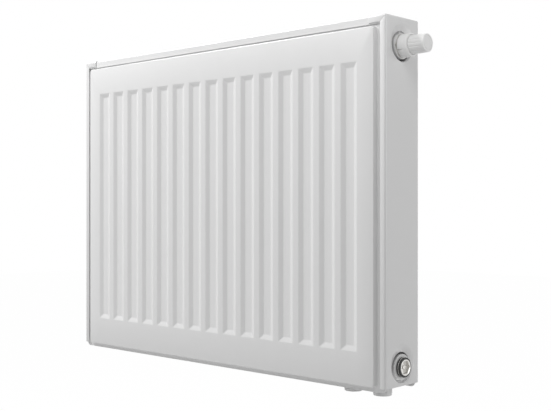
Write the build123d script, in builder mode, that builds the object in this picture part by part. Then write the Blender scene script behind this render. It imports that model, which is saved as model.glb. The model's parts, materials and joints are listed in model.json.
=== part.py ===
from build123d import *
import os
from math import acos, atan, cos, degrees, radians, sin

os.makedirs("parts", exist_ok=True)

# A double-panel heating radiator with a built-in valve.
# X runs along the radiator (+X is the valve end), Y runs back to the wall, Z is up.
# The origin is the centre of the hanging lugs' slots, on the face that meets the wall.

# ------------------------------------------------------------------ driving dimensions (mm)
# Clearances
running_gap = 0.06      # radial gap of turning and sliding fits
thread_gap = 0.10       # radial gap of screwed fits
loose_gap = 0.30        # gap between neighbours that only pass each other
clip_fit = 0.10         # gap between a spring clip and the rim that it grips

# Overall
length = 656.0          # over the two side covers
height = 500.0          # from the panels' bottom edge to the grille's top
cover_depth = 76.0      # over the side covers' front and back lips
field_proud = 3.5       # the raised fields stand out past the lips
lug_standoff = 9.0      # from the rear field to the wall

# Sheets
panel_sheet = 1.25
cover_sheet = 1.0
grille_sheet = 0.8
clip_sheet = 0.9
fin_sheet = 0.5
lip_gap = 0.2           # between a cover's lip and the grille's lip behind it

# Pressed water panels
panel_inset = 3.0       # from a cover's outer face to the panel's edge
rim_corner = 6.0
field_inset = 14.7      # from the panel's edge to the field's flat
field_side_run = 1.2    # width of the steep step at the sides
field_bottom = 6.7      # from the panel's bottom edge to the field's flat
field_bottom_run = 1.2
field_top_drop = 13.8   # from the grille's top down to the field's flat
field_top_run = 1.0
field_corner = 4.5
groove_pitch = 38.4
groove_margin = 20.0    # the least flat left beside the outermost grooves
groove_mouth = 28.0
groove_floor = 14.0
groove_depth = 3.0
groove_low = 51.7       # end of the grooves above the panel's bottom edge
groove_high_drop = 58.0  # from the grille's top down to the grooves

# Side covers
cover_low = 6.0         # lower edge above the panels' bottom edge
cover_lip = 9.5
cover_over_grille = 1.3  # the cover's top stands above the grille's top
tongue_length = 29.0
tongue_fold = 10.0
mitre_slit = 0.4
cover_hole = 20.2       # radius
dish_radius = 26.0
dish_rise = 4.6         # the dish's round outline lies this far above the hole's centre
dish_apex = 32.0
dish_depth = 3.0

# Top grille
grille_lip = 10.5
louvre_width = 6.0
louvre_pitch = 12.0
louvre_end = 0.7        # from the lip's face to a slot's end, so the slots cut into the bend
louvre_margin = 6.0     # from a cover's tongue to the first slot

# Spring clips
clip_leg = 7.0
cover_clip_height = 20.0
cover_clip_low = 90.0   # centre of the lower clips, above the panels' bottom edge
cover_clip_drop = 100.0  # centre of the upper clips, below the grille's top
grille_clip_width = 8.0
grille_clip_leg = 8.0
grille_clip_inset = 128.0  # centre of the outer clips, from the covers' outer faces

# Convector fins
fin_depth = 28.0
fin_flat = 9.0
fin_run = 7.0
fin_clear = 3.2         # from a corner tee to the fins
fin_riser_gap = 11.0    # from the riser pipe to the fins
fin_left_gap = 25.0     # the least gap from the panel's left edge to the fins

# Corner tees and their side ports
port_inset = 33.0       # from the cover's outer face to the tee's centre
port_low = 31.3         # above the panels' bottom edge
port_high_drop = 37.7   # below the grille's top
barrel_radius = 14.0
barrel_bore = 10.0
boss_radius = 17.5
boss_setback = 0.8      # the boss's face lies behind the cover's outer face
port_thread = 10.5      # radius of the G1/2 port's bore
port_thread_end = 17.0  # depth of the port's bore, from the cover's outer face
waterway = 9.0
branch_bore = 8.5
seat_face = 44.0        # depth of the valve's seat, from the cover's outer face
seat_wall = 5.0
seat_bore = 6.0
spigot_length = 5.0
spigot_radius = 12.0

# Bottom connections
connection_spacing = 50.0
pipe_radius = 9.0
pipe_wall = 1.5
pipe_bend = 22.0
branch_end = 9.0        # the branch and the riser end this far above the panels' bottom edge
bracket_sheet = 3.0
bracket_width = 34.0
collar_height = 5.0
collar_radius = 17.0
stub_radius = 13.22     # G3/4 outside thread
stub_length = 12.3
stub_bore = 8.0
cap_head = 2.0
cap_head_radius = 12.7
cap_plug = 8.0

# Hanging lugs
lug_inset = 108.0       # from a cover's outer face to a lug's slot
lug_high_drop = 36.0    # upper lugs' slots below the grille's top
lug_low = 30.0          # lower lugs' slots above the panels' bottom edge
lug_sheet = 2.0
lug_width = 34.0
lug_plate = 18.0
lug_foot = 10.0
lug_slot_length = 22.0
lug_slot_width = 8.0

# Valve insert
hex_flats = 29.0
hex_thick = 2.4
neck_radius = 14.0
neck_end = 12.3         # from the cover's outer face
nose_ring = 1.4         # thickness of the sealing ring at the nose
sleeve_radius = 8.5
sleeve_bore = 7.0
sleeve_in = 37.0        # the sleeve's inner end, behind the cover's outer face
sleeve_out = 9.0
window_width = 7.0
window_length = 12.0
window_end_wall = 1.0
spring_seat = 2.0
gland_in = 6.0
gland_out = 6.5
gland_ring = 0.94       # section radius of the gland's ring
spindle_radius = 2.0
spindle_out = 10.0
spindle_collar = 5.5
spindle_collar_thick = 1.0
spring_radius = 5.2
spring_wire = 0.4       # radius of the wire
spring_turns = 5
spring_from = 20.0
spring_to = 9.0
stroke = 3.0
disc_radius = 6.6
disc_thick = 1.5
disc_seal = 2.0
disc_seal_radius = 6.4

# Hand knob and its collar
collar_wall = 1.7
knob_collar_length = 14.8
knob_collar_lip = 2.2
collar_round = 2.0
slit_width = 1.0
slit_length = 7.0
slit_angle = 26.0       # below the horizontal, on the front
knob_end = 40.5
knob_root_radius = 13.0
knob_tip_radius = 12.2
knob_flange = 1.7
knob_wall = 2.0
knob_round = 0.8
knob_hub = 7.5
knob_hub_bore = 5.0
knob_hub_start = 18.0
flute_count = 16
flute_radius = 1.3
flute_depth = 0.7
flute_start = 17.4
flute_end = 37.8
ring_groove_radius = 9.5
ring_groove_width = 0.6
ring_groove_depth = 0.5
guide_thick = 2.8
pusher_length = 20.0
rib_width = 2.0
rib_reach = 6.4
rib_length = 6.5

# Drain plug, blind plug and air vent
plug_thread_length = 12.0
plug_seal_radius = 13.5
plug_inner_seal = 2.5
plug_flange = 0.8
plug_flange_radius = 13.6
plug_outer_ring = 2.5
plug_head_radius = 11.0
plug_head_proud = 0.6
plug_socket_flats = 16.4
plug_socket_depth = 4.5
plug_pip_radius = 2.6
plug_pip = 2.0
end_seal = 1.5
end_seal_radius = 13.0
blind_flange = 2.5
blind_socket_flats = 10.0
blind_socket_depth = 6.0
vent_hex_flats = 24.0
vent_hex = 4.5
vent_neck_radius = 7.0
vent_neck = 7.3
vent_snap = 0.6
vent_snap_length = 0.8
nozzle_radius = 10.0
nozzle_bore = 1.5
nozzle_spout_radius = 3.0
nozzle_spout = 5.0
screw_radius = 3.0
screw_tip = 1.5
screw_in = 6.0
screw_head_flats = 5.0
screw_head = 5.5
screw_recess = 4.4
screw_ring = 0.5        # section radius of the screw's ring

# ------------------------------------------------------------------ places that follow from them
half = length / 2
lug_spacing_x = length - 2 * lug_inset
lug_spacing_z = height - lug_low - lug_high_drop
bottom = -(lug_low + lug_spacing_z / 2)
cover_back = -(lug_standoff + field_proud)
cover_front = cover_back - cover_depth
middle = cover_front + cover_depth / 2

cover_bend = cover_sheet + lip_gap + grille_sheet
rim_setback = cover_bend + clip_sheet + clip_fit
rim_top = height - grille_sheet - clip_sheet
panel_half = half - panel_inset
field_depth = rim_setback + field_proud
front_rim = cover_front + rim_setback
back_rim = cover_back - rim_setback
front_inner_rim = front_rim + 2 * panel_sheet
back_inner_rim = back_rim - 2 * panel_sheet
front_inner_field = front_inner_rim + field_depth
back_inner_field = back_inner_rim - field_depth
panel_gap = back_inner_field - front_inner_field
inner_groove_depth = 2 * field_depth - groove_depth
field_top = height - field_top_drop
groove_high = height - groove_high_drop
groove_room = 2 * (panel_half - field_inset - groove_margin) - groove_mouth
groove_count = 1 + int(groove_room / groove_pitch)
port_high = height - port_high_drop
cover_top = height + cover_over_grille
port_x = half - port_inset
riser_x = port_x - connection_spacing
low_z = bottom + port_low
high_z = bottom + port_high


def facing(y, toward):
    """A vertical plane whose normal points to the front (-1) or to the back (+1)."""
    return Plane(origin=(0, y, 0), x_dir=(-toward, 0, 0), z_dir=(0, toward, 0))


def port_plane(side, up):
    """The plane of a side cover's outer face, centred on a port; its normal points outwards."""
    return Plane(origin=(side * half, middle, up), x_dir=(0, side, 0), z_dir=(side, 0, 0))


def pipe_plane(x):
    """The plane of the panels' bottom edge at a bottom connection; its normal points down."""
    return Plane(origin=(x, middle, bottom), x_dir=(1, 0, 0), z_dir=(0, 0, -1))


def turned(plane, outline, mode=Mode.ADD):
    """A solid of revolution about the plane's normal; outline holds (along, radius) points."""
    side = Plane(origin=plane.origin, x_dir=plane.z_dir, z_dir=plane.y_dir)
    with BuildSketch(side) as profile:
        with BuildLine():
            Polyline(outline, close=True)
        make_face()
    revolve(profile.sketch, axis=Axis(plane.origin, plane.z_dir), mode=mode)


def ring(plane, start, end, inner, outer, mode=Mode.ADD):
    """A plain ring about the plane's normal, from start to end along it."""
    turned(plane, [(start, inner), (end, inner), (end, outer), (start, outer)], mode)


def save(piece, name):
    """Label a finished piece and write it to its own file."""
    piece.part.label = name
    export_step(piece.part, f"parts/{name}.step")


# ------------------------------------------------------------------ pressed water panels
def field_outline(inset, low, high, corner):
    """A rounded rectangle on the panel, given by its distances from the panel's edges."""
    with Locations((0, bottom + (low + high) / 2)):
        RectangleRounded(2 * (panel_half - inset), high - low, corner)


def pressed_sheet(rim_face, toward, depth):
    """A pressed sheet: a rim, a raised field and upright grooves pressed back into it."""
    with BuildSketch(facing(rim_face, toward)) as rim:
        field_outline(0, 0, rim_top, rim_corner)
    extrude(rim.sketch, amount=-panel_sheet)
    field_face = rim_face + toward * field_depth
    base_corner = field_corner + field_side_run
    base_low = field_bottom - field_bottom_run
    base_high = field_top + field_top_run
    base_inset = field_inset - field_side_run
    for wall, mode in ((0, Mode.ADD), (panel_sheet, Mode.SUBTRACT)):
        with BuildSketch(facing(rim_face - toward * wall, toward)) as base:
            field_outline(base_inset + wall, base_low + wall, base_high - wall, base_corner - wall)
        with BuildSketch(facing(field_face - toward * wall, toward)) as flat:
            field_outline(field_inset + wall, field_bottom + wall, field_top - wall, field_corner - wall)
        loft([base.sketch, flat.sketch], ruled=True, mode=mode)
    slope = degrees(atan((groove_mouth - groove_floor) / 2 / depth))
    for back, mode in ((toward * panel_sheet, Mode.ADD), (0, Mode.SUBTRACT)):
        with BuildSketch(facing(field_face - back, -toward)) as mouths:
            with Locations((0, bottom + (groove_low + groove_high) / 2)):
                with GridLocations(groove_pitch, 0, groove_count, 1):
                    Rectangle(groove_mouth, groove_high - groove_low)
        extrude(mouths.sketch, amount=depth, taper=slope, mode=mode)


def water_holes(y, toward):
    """Holes that open a panel's inner sheet into the four tees."""
    with BuildSketch(facing(y, toward)) as holes:
        with Locations(*[(x, z) for x in (-port_x, port_x) for z in (low_z, high_z)]):
            Circle(barrel_bore)
    extrude(holes.sketch, amount=-2 * panel_sheet, mode=Mode.SUBTRACT)


with BuildPart() as front_outer:
    pressed_sheet(front_rim, -1, groove_depth)
save(front_outer, "front_panel_outer_sheet")

with BuildPart() as front_inner:
    pressed_sheet(front_inner_rim, 1, inner_groove_depth)
    water_holes(front_inner_field, 1)
save(front_inner, "front_panel_inner_sheet")

with BuildPart() as rear_inner:
    pressed_sheet(back_inner_rim, -1, inner_groove_depth)
    water_holes(back_inner_field, -1)
save(rear_inner, "rear_panel_inner_sheet")

with BuildPart() as rear_outer:
    pressed_sheet(back_rim, 1, groove_depth)
save(rear_outer, "rear_panel_outer_sheet")

# ------------------------------------------------------------------ convector fins
fin_low = bottom + port_low + boss_radius + fin_clear
fin_high = bottom + port_high - boss_radius - fin_clear
fin_wave = 2 * (fin_flat + fin_run)
fin_right = riser_x - pipe_radius - fin_riser_gap
fin_waves = int((fin_right + panel_half - fin_left_gap - fin_flat) / fin_wave)
fin_left = fin_right - fin_waves * fin_wave - fin_flat
fin_front = front_inner_field
fin_back = front_inner_field + fin_depth - fin_sheet

fin_points = []
for wave in range(fin_waves):
    x = fin_left + wave * fin_wave
    fin_points.append((x, fin_front))
    fin_points.append((x + fin_flat, fin_front))
    fin_points.append((x + fin_flat + fin_run, fin_back))
    fin_points.append((x + 2 * fin_flat + fin_run, fin_back))
fin_points.append((fin_right - fin_flat, fin_front))
fin_points.append((fin_right, fin_front))

with BuildPart() as fins:
    with BuildSketch(Plane.XY.offset(fin_low)):
        with BuildLine():
            Polyline(fin_points)
            offset(amount=fin_sheet, side=Side.LEFT, kind=Kind.INTERSECTION, closed=True)
        make_face()
    extrude(amount=fin_high - fin_low)
save(fins, "convector_fins")

# ------------------------------------------------------------------ top grille
with BuildPart() as grille:
    grille_half = half - cover_bend
    grille_depth = cover_depth - 2 * (cover_sheet + lip_gap)
    louvre_room = 2 * (half - tongue_length - louvre_margin) - louvre_width
    louvre_count = 1 + int(louvre_room / louvre_pitch)
    with BuildSketch(Plane.XY.offset(bottom + height)):
        with Locations((0, middle)):
            Rectangle(2 * grille_half, grille_depth)
    extrude(amount=-grille_lip)
    fillet(grille.faces().sort_by(Axis.Z)[-1].edges().filter_by(Axis.X), radius=2 * grille_sheet)
    open_faces = grille.faces().sort_by(Axis.Z)[:1] + grille.faces().filter_by(Axis.X)
    offset(amount=-grille_sheet, openings=open_faces)
    with BuildSketch(Plane.XY.offset(bottom + height)):
        with Locations((0, middle)):
            with GridLocations(louvre_pitch, 0, louvre_count, 1):
                Rectangle(louvre_width, grille_depth - 2 * louvre_end)
    extrude(amount=-2 * grille_sheet, mode=Mode.SUBTRACT)
save(grille, "top_grille")

# ------------------------------------------------------------------ spring clips
leg_out = cover_bend    # outer face of a clip's outer leg, behind the cover's lip face
leg_in = rim_setback + 2 * panel_sheet + clip_fit    # rim face of a clip's inner leg

with BuildPart() as grille_clips:
    for edge, inward in ((cover_front, 1), (cover_back, -1)):
        outer = edge + inward * leg_out
        inner = edge + inward * (leg_in + clip_sheet)
        centre = (outer + inner) / 2
        width = abs(inner - outer)
        with BuildSketch(Plane.XY.offset(bottom + rim_top + clip_sheet)):
            with Locations((0, centre)):
                with GridLocations(half - grille_clip_inset, 0, 3, 1):
                    Rectangle(grille_clip_width, width)
        extrude(amount=-(clip_sheet + grille_clip_leg))
        with BuildSketch(Plane.XY.offset(bottom + rim_top)):
            with Locations((0, centre)):
                with GridLocations(half - grille_clip_inset, 0, 3, 1):
                    Rectangle(grille_clip_width, width - 2 * clip_sheet)
        extrude(amount=-grille_clip_leg, mode=Mode.SUBTRACT)
    crowns = grille_clips.faces().filter_by(Axis.Z).group_by(Axis.Z)[-1]
    fillet(crowns.edges().filter_by(Axis.X), radius=clip_sheet)
save(grille_clips, "grille_clips")


def cover_clips(side):
    """Four U clips, held in a side cover, that grip the panels' upright rims."""
    outer_x = side * (half - cover_sheet)
    for up in (cover_clip_low, height - cover_clip_drop):
        for edge, inward in ((cover_front, 1), (cover_back, -1)):
            outer = edge + inward * leg_out
            inner = edge + inward * (leg_in + clip_sheet)
            centre = (outer + inner) / 2
            width = abs(inner - outer)
            web_x = outer_x - side * clip_leg / 2
            gap_x = outer_x - side * (clip_leg + clip_sheet) / 2
            low = bottom + up - cover_clip_height / 2
            with BuildSketch(Plane.XY.offset(low)) as channel:
                with Locations((web_x, centre)):
                    Rectangle(clip_leg, width)
                with Locations((gap_x, centre)):
                    Rectangle(clip_leg - clip_sheet, width - 2 * clip_sheet, mode=Mode.SUBTRACT)
            extrude(channel.sketch, amount=cover_clip_height)


with BuildPart() as clips_right:
    cover_clips(1)
save(clips_right, "cover_clips_right")

with BuildPart() as clips_left:
    cover_clips(-1)
save(clips_left, "cover_clips_left")


# ------------------------------------------------------------------ side covers
def dish(plane, mode):
    """The space of a pressed dish: round, drawn up to a point, narrowing to the hole."""
    half_arc = degrees(acos(dish_radius / (dish_apex - dish_rise)))
    right = 90 - half_arc
    left = 90 + half_arc
    edge_x = dish_radius * cos(radians(right))
    edge_z = dish_rise + dish_radius * sin(radians(right))
    with BuildSketch(plane) as mouth:
        with BuildLine():
            CenterArc((0, dish_rise), dish_radius, left, 360 - 2 * half_arc)
            Polyline((edge_x, edge_z), (0, dish_apex), (-edge_x, edge_z))
        make_face()
    with BuildSketch(plane.offset(-dish_depth)) as floor:
        with BuildLine():
            CenterArc((0, 0), cover_hole, left, 360 - 2 * half_arc)
            CenterArc((0, 0), cover_hole, right, half_arc)
            CenterArc((0, 0), cover_hole, 90, half_arc)
        make_face()
    loft([mouth.sketch, floor.sketch], ruled=True, mode=mode)


def side_cover(piece, side):
    """A folded cover: web, two lips, a tongue over the grille and two dished holes."""
    outer_face = Plane(origin=(side * half, middle, 0), x_dir=(0, side, 0), z_dir=(side, 0, 0))
    for low, reach in ((cover_low, cover_lip), (cover_top - tongue_fold, tongue_length)):
        with BuildSketch(outer_face) as blank:
            with Locations((0, bottom + (low + cover_top) / 2)):
                Rectangle(cover_depth, cover_top - low)
        extrude(blank.sketch, amount=-reach)
    outward = Axis((0, 0, 0), (side, 0, 0))
    inward = piece.faces().filter_by(Axis.X).sort_by(outward, reverse=True)
    upward = piece.faces().filter_by(Axis.Z).sort_by(Axis.Z)
    bends = inward[0].edges().filter_by(Axis.Z) + upward[-1].edges().filter_by(Axis.X)
    bends = bends + inward[0].edges().filter_by(Axis.Y).sort_by(Axis.Z)[-1:]
    fillet(bends, radius=cover_bend)
    inward = piece.faces().filter_by(Axis.X).sort_by(outward, reverse=True)
    upward = piece.faces().filter_by(Axis.Z).sort_by(Axis.Z)
    offset(amount=-cover_sheet, openings=inward[1:] + upward[:-1])
    # The lips and the tongue's folds are separate flanges, parted by a mitre at each corner.
    mitre_x = side * (half - (cover_lip + cover_bend) / 2)
    mitre_z = bottom + cover_top - (tongue_fold + cover_bend) / 2
    mitre_length = (cover_lip - cover_bend) * 2 ** 0.5
    for y, toward in ((cover_front, -1), (cover_back, 1)):
        with BuildSketch(facing(y, toward)) as mitre:
            with Locations((-toward * mitre_x, mitre_z)):
                Rectangle(mitre_length, mitre_slit, rotation=-toward * side * 45)
        extrude(mitre.sketch, amount=-2 * cover_sheet, mode=Mode.SUBTRACT)
    for up in (low_z, high_z):
        port = port_plane(side, up)
        dish(port.offset(-cover_sheet), Mode.ADD)
        dish(port, Mode.SUBTRACT)
        hole_depth = dish_depth + 2 * cover_sheet
        ring(port, -hole_depth, 0, 0, cover_hole, Mode.SUBTRACT)


with BuildPart() as cover_right:
    side_cover(cover_right, 1)
save(cover_right, "side_cover_right")

with BuildPart() as cover_left:
    side_cover(cover_left, -1)
save(cover_left, "side_cover_left")


# ------------------------------------------------------------------ corner tees
def barrel(side, up, radius, mode=Mode.ADD):
    """A cylinder from panel to panel through a tee's centre."""
    with BuildSketch(facing(front_inner_field, -1)) as section:
        with Locations((side * port_x, up)):
            Circle(radius)
    extrude(section.sketch, amount=-panel_gap, mode=mode)


def tee_body(side, up):
    """The barrel between the panels and the boss out to the side port."""
    barrel(side, up, barrel_radius)
    ring(port_plane(side, up), -port_inset, -boss_setback, 0, boss_radius)


def tee_bores(side, up):
    """The barrel's through bore, the port's thread bore and the waterway between them."""
    barrel(side, up, barrel_bore, Mode.SUBTRACT)
    ring(port_plane(side, up), -port_inset, -boss_setback, 0, waterway, Mode.SUBTRACT)
    ring(port_plane(side, up), -port_thread_end, -boss_setback, 0, port_thread, Mode.SUBTRACT)


with BuildPart() as return_tee:
    tee_body(1, low_z)
    branch = pipe_plane(port_x)
    ring(branch, -port_low, -branch_end, 0, barrel_radius)
    tee_bores(1, low_z)
    ring(branch, -port_low, -branch_end, 0, branch_bore, Mode.SUBTRACT)
save(return_tee, "return_tee")

with BuildPart() as valve_tee:
    tee_body(1, high_z)
    valve_port = port_plane(1, high_z)
    seat_back = seat_face + seat_wall
    ring(valve_port, -seat_back, -port_inset, 0, barrel_radius)
    ring(valve_port, -(seat_back + spigot_length), -seat_back, 0, spigot_radius)
    tee_bores(1, high_z)
    ring(valve_port, -seat_face, -port_inset, 0, waterway, Mode.SUBTRACT)
    ring(valve_port, -seat_back, -seat_face, 0, seat_bore, Mode.SUBTRACT)
    pipe_bore = pipe_radius - pipe_wall
    ring(valve_port, -(seat_back + spigot_length), -seat_back, 0, pipe_bore, Mode.SUBTRACT)
save(valve_tee, "valve_tee")

with BuildPart() as vent_tee:
    tee_body(-1, high_z)
    tee_bores(-1, high_z)
save(vent_tee, "vent_tee")

with BuildPart() as blind_tee:
    tee_body(-1, low_z)
    tee_bores(-1, low_z)
save(blind_tee, "blind_tee")

# ------------------------------------------------------------------ riser pipe and bottom connections
with BuildPart() as riser:
    with BuildLine():
        foot = (riser_x, middle, bottom + branch_end)
        corner = (riser_x, middle, high_z)
        spigot = (half - seat_back - spigot_length, middle, high_z)
        FilletPolyline(foot, corner, spigot, radius=pipe_bend)
    with BuildSketch(Plane.XY.offset(bottom + branch_end)):
        with Locations((riser_x, middle)):
            Circle(pipe_radius)
            Circle(pipe_radius - pipe_wall, mode=Mode.SUBTRACT)
    sweep()
save(riser, "riser_pipe")

with BuildPart() as bracket:
    with BuildSketch(Plane.XY.offset(bottom + branch_end)):
        with Locations(((riser_x + port_x) / 2, middle)):
            SlotCenterToCenter(connection_spacing, bracket_width)
        with Locations((port_x, middle)):
            Circle(barrel_radius + thread_gap, mode=Mode.SUBTRACT)
        with Locations((riser_x, middle)):
            Circle(pipe_radius + thread_gap, mode=Mode.SUBTRACT)
    extrude(amount=bracket_sheet)
save(bracket, "connection_bracket")

stub_start = collar_height - branch_end
stub_end = stub_start + stub_length


def stub(x):
    """A connection stub: a collar against the bracket and a cylinder for the pipe's nut."""
    axis = pipe_plane(x)
    ring(axis, -branch_end, stub_start, stub_bore, collar_radius)
    ring(axis, stub_start, stub_end, stub_bore, stub_radius)


def cap(x):
    """A push-in transport cap: a plug in the stub's bore and a flat head."""
    axis = pipe_plane(x)
    ring(axis, stub_end - cap_plug, stub_end, 0, stub_bore - running_gap)
    ring(axis, stub_end, stub_end + cap_head, 0, cap_head_radius)


with BuildPart() as supply_stub:
    stub(riser_x)
save(supply_stub, "supply_stub")

with BuildPart() as return_stub:
    stub(port_x)
save(return_stub, "return_stub")

with BuildPart() as supply_cap:
    cap(riser_x)
save(supply_cap, "supply_cap")

with BuildPart() as return_cap:
    cap(port_x)
save(return_cap, "return_cap")


# ------------------------------------------------------------------ hanging lugs
def lug(x, up):
    """An omega strap: two feet on the rear field and a plate at the wall with a slot."""
    z = bottom + up
    rise = lug_plate / 2
    foot = rise + lug_foot
    near = -lug_standoff
    inner = rise - lug_sheet
    outline = [(near, foot), (near + lug_sheet, foot), (near + lug_sheet, rise), (0, rise)]
    outline += [(0, -rise), (near + lug_sheet, -rise), (near + lug_sheet, -foot), (near, -foot)]
    outline += [(near, -inner), (-lug_sheet, -inner), (-lug_sheet, inner), (near, inner)]
    side = Plane(origin=(x - lug_width / 2, 0, z), x_dir=(0, 1, 0), z_dir=(1, 0, 0))
    with BuildSketch(side) as strap:
        with BuildLine():
            Polyline(outline, close=True)
        make_face()
    extrude(strap.sketch, amount=lug_width)
    with BuildSketch(facing(0, 1)) as slot:
        with Locations((-x, z)):
            SlotOverall(lug_slot_length, lug_slot_width)
    extrude(slot.sketch, amount=-lug_sheet, mode=Mode.SUBTRACT)


with BuildPart() as lug_upper_left:
    lug(-lug_spacing_x / 2, lug_low + lug_spacing_z)
save(lug_upper_left, "lug_upper_left")

with BuildPart() as lug_upper_right:
    lug(lug_spacing_x / 2, lug_low + lug_spacing_z)
save(lug_upper_right, "lug_upper_right")

with BuildPart() as lug_lower_left:
    lug(-lug_spacing_x / 2, lug_low)
save(lug_lower_left, "lug_lower_left")

with BuildPart() as lug_lower_right:
    lug(lug_spacing_x / 2, lug_low)
save(lug_lower_right, "lug_lower_right")

# ------------------------------------------------------------------ valve insert
thread_radius = port_thread - thread_gap
insert_bore = sleeve_radius + running_gap
insert_in = port_thread_end - nose_ring
hex_out = hex_thick - boss_setback

with BuildPart() as insert_body:
    ring(valve_port, -insert_in, -boss_setback, 0, thread_radius)
    with BuildSketch(valve_port.offset(-boss_setback)):
        RegularPolygon(hex_flats / 2, 6, major_radius=False)
    extrude(amount=hex_thick)
    ring(valve_port, hex_out, neck_end, 0, neck_radius)
    ring(valve_port, -insert_in, neck_end, 0, insert_bore, Mode.SUBTRACT)
save(insert_body, "valve_insert_body")

with BuildPart() as nose_oring:
    ring_plane = valve_port.offset(-(port_thread_end + insert_in) / 2)
    ring_middle = port_thread - nose_ring / 2 - running_gap
    section = Plane(origin=ring_plane.origin, x_dir=valve_port.z_dir, z_dir=valve_port.y_dir)
    with BuildSketch(section):
        with Locations((0, ring_middle)):
            Circle(nose_ring / 2)
    revolve(axis=Axis(valve_port.origin, valve_port.z_dir))
save(nose_oring, "insert_nose_oring")

with BuildPart() as sleeve:
    ring(valve_port, -sleeve_in, sleeve_out, sleeve_bore, sleeve_radius)
    seat_start = -(spring_from + spring_seat)
    ring(valve_port, seat_start, -spring_from, spindle_radius + loose_gap, sleeve_bore)
    with BuildSketch(valve_port.offset(-(sleeve_in - window_end_wall))):
        Rectangle(3 * sleeve_radius, window_width)
    extrude(amount=window_length, mode=Mode.SUBTRACT)
    with BuildSketch(valve_port.offset(sleeve_out)):
        with PolarLocations(sleeve_radius, 4):
            Rectangle(4 * (sleeve_radius - sleeve_bore), rib_width)
    extrude(amount=-rib_width, mode=Mode.SUBTRACT)
save(sleeve, "presetting_sleeve")

gland_bore = spindle_radius + running_gap
gland_ring_middle = gland_bore + gland_ring
with BuildPart() as gland:
    ring(valve_port, -gland_in, gland_out, gland_bore, sleeve_bore - running_gap)
    groove_half = gland_ring + running_gap
    ring(valve_port, -groove_half, groove_half, 0, gland_ring_middle + groove_half, Mode.SUBTRACT)
save(gland, "gland_nut")

with BuildPart() as gland_oring:
    section = Plane(origin=valve_port.origin, x_dir=valve_port.z_dir, z_dir=valve_port.y_dir)
    with BuildSketch(section):
        with Locations((0, gland_ring_middle)):
            Circle(gland_ring)
    revolve(axis=Axis(valve_port.origin, valve_port.z_dir))
save(gland_oring, "gland_oring")

seal_face = seat_face - stroke - running_gap
seal_back = seal_face - disc_seal
with BuildPart() as spindle:
    ring(valve_port, -seal_back, spindle_out, 0, spindle_radius)
    ring(valve_port, -spring_to, -spring_to + spindle_collar_thick, 0, spindle_collar)
save(spindle, "valve_spindle")

with BuildPart() as spring:
    coil_length = spring_from - spring_to - 2 * spring_wire
    coil_end = half - spring_to - spring_wire
    with BuildLine() as coil:
        Helix(
            pitch=coil_length / spring_turns,
            height=coil_length,
            radius=spring_radius,
            center=(coil_end, middle, high_z),
            direction=(-1, 0, 0),
        )
    with BuildSketch(coil.line ^ 0):
        Circle(spring_wire)
    sweep(is_frenet=True)
save(spring, "valve_spring")

with BuildPart() as disc:
    ring(valve_port, -seal_back, -(seal_back - disc_thick), spindle_radius, disc_radius)
save(disc, "valve_disc")

with BuildPart() as disc_seal_ring:
    ring(valve_port, -seal_face, -seal_back, 0, disc_seal_radius)
save(disc_seal_ring, "valve_disc_seal")

pusher_radius = knob_hub_bore - running_gap
guide_start = neck_end - guide_thick
with BuildPart() as pusher_guide:
    ring(valve_port, guide_start, neck_end, pusher_radius + thread_gap, sleeve_radius)
    with BuildSketch(valve_port.offset(guide_start)):
        Rectangle(2 * (rib_reach + thread_gap), rib_width + 2 * thread_gap)
    extrude(amount=guide_thick, mode=Mode.SUBTRACT)
save(pusher_guide, "pusher_guide")

with BuildPart() as pusher:
    ring(valve_port, spindle_out, spindle_out + pusher_length, 0, pusher_radius)
    with BuildSketch(valve_port.offset(spindle_out)):
        Rectangle(2 * rib_reach, rib_width)
    extrude(amount=rib_length)
save(pusher, "knob_pusher")

# ------------------------------------------------------------------ hand knob and its collar
flange_radius = neck_radius + running_gap
collar_bore = neck_radius + thread_gap
collar_outer = collar_bore + collar_wall
collar_start = hex_out + loose_gap
collar_end = collar_start + knob_collar_length
lip_start = collar_end - knob_collar_lip
flange_start = neck_end + loose_gap

with BuildPart() as collar:
    ring(valve_port, collar_start, collar_end, 0, collar_outer)
    front_rim_edges = collar.edges().filter_by(GeomType.CIRCLE).sort_by(Axis.X)
    fillet(front_rim_edges[-1], radius=collar_round)
    ring(valve_port, collar_start, lip_start, 0, collar_bore, Mode.SUBTRACT)
    ring(valve_port, lip_start, collar_end, 0, knob_root_radius + loose_gap, Mode.SUBTRACT)
    with BuildSketch(valve_port.offset(collar_start)):
        with PolarLocations(collar_outer, 1, start_angle=180 + slit_angle):
            Rectangle(3 * collar_wall, slit_width)
    extrude(amount=slit_length, mode=Mode.SUBTRACT)
save(collar, "valve_collar")

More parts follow.
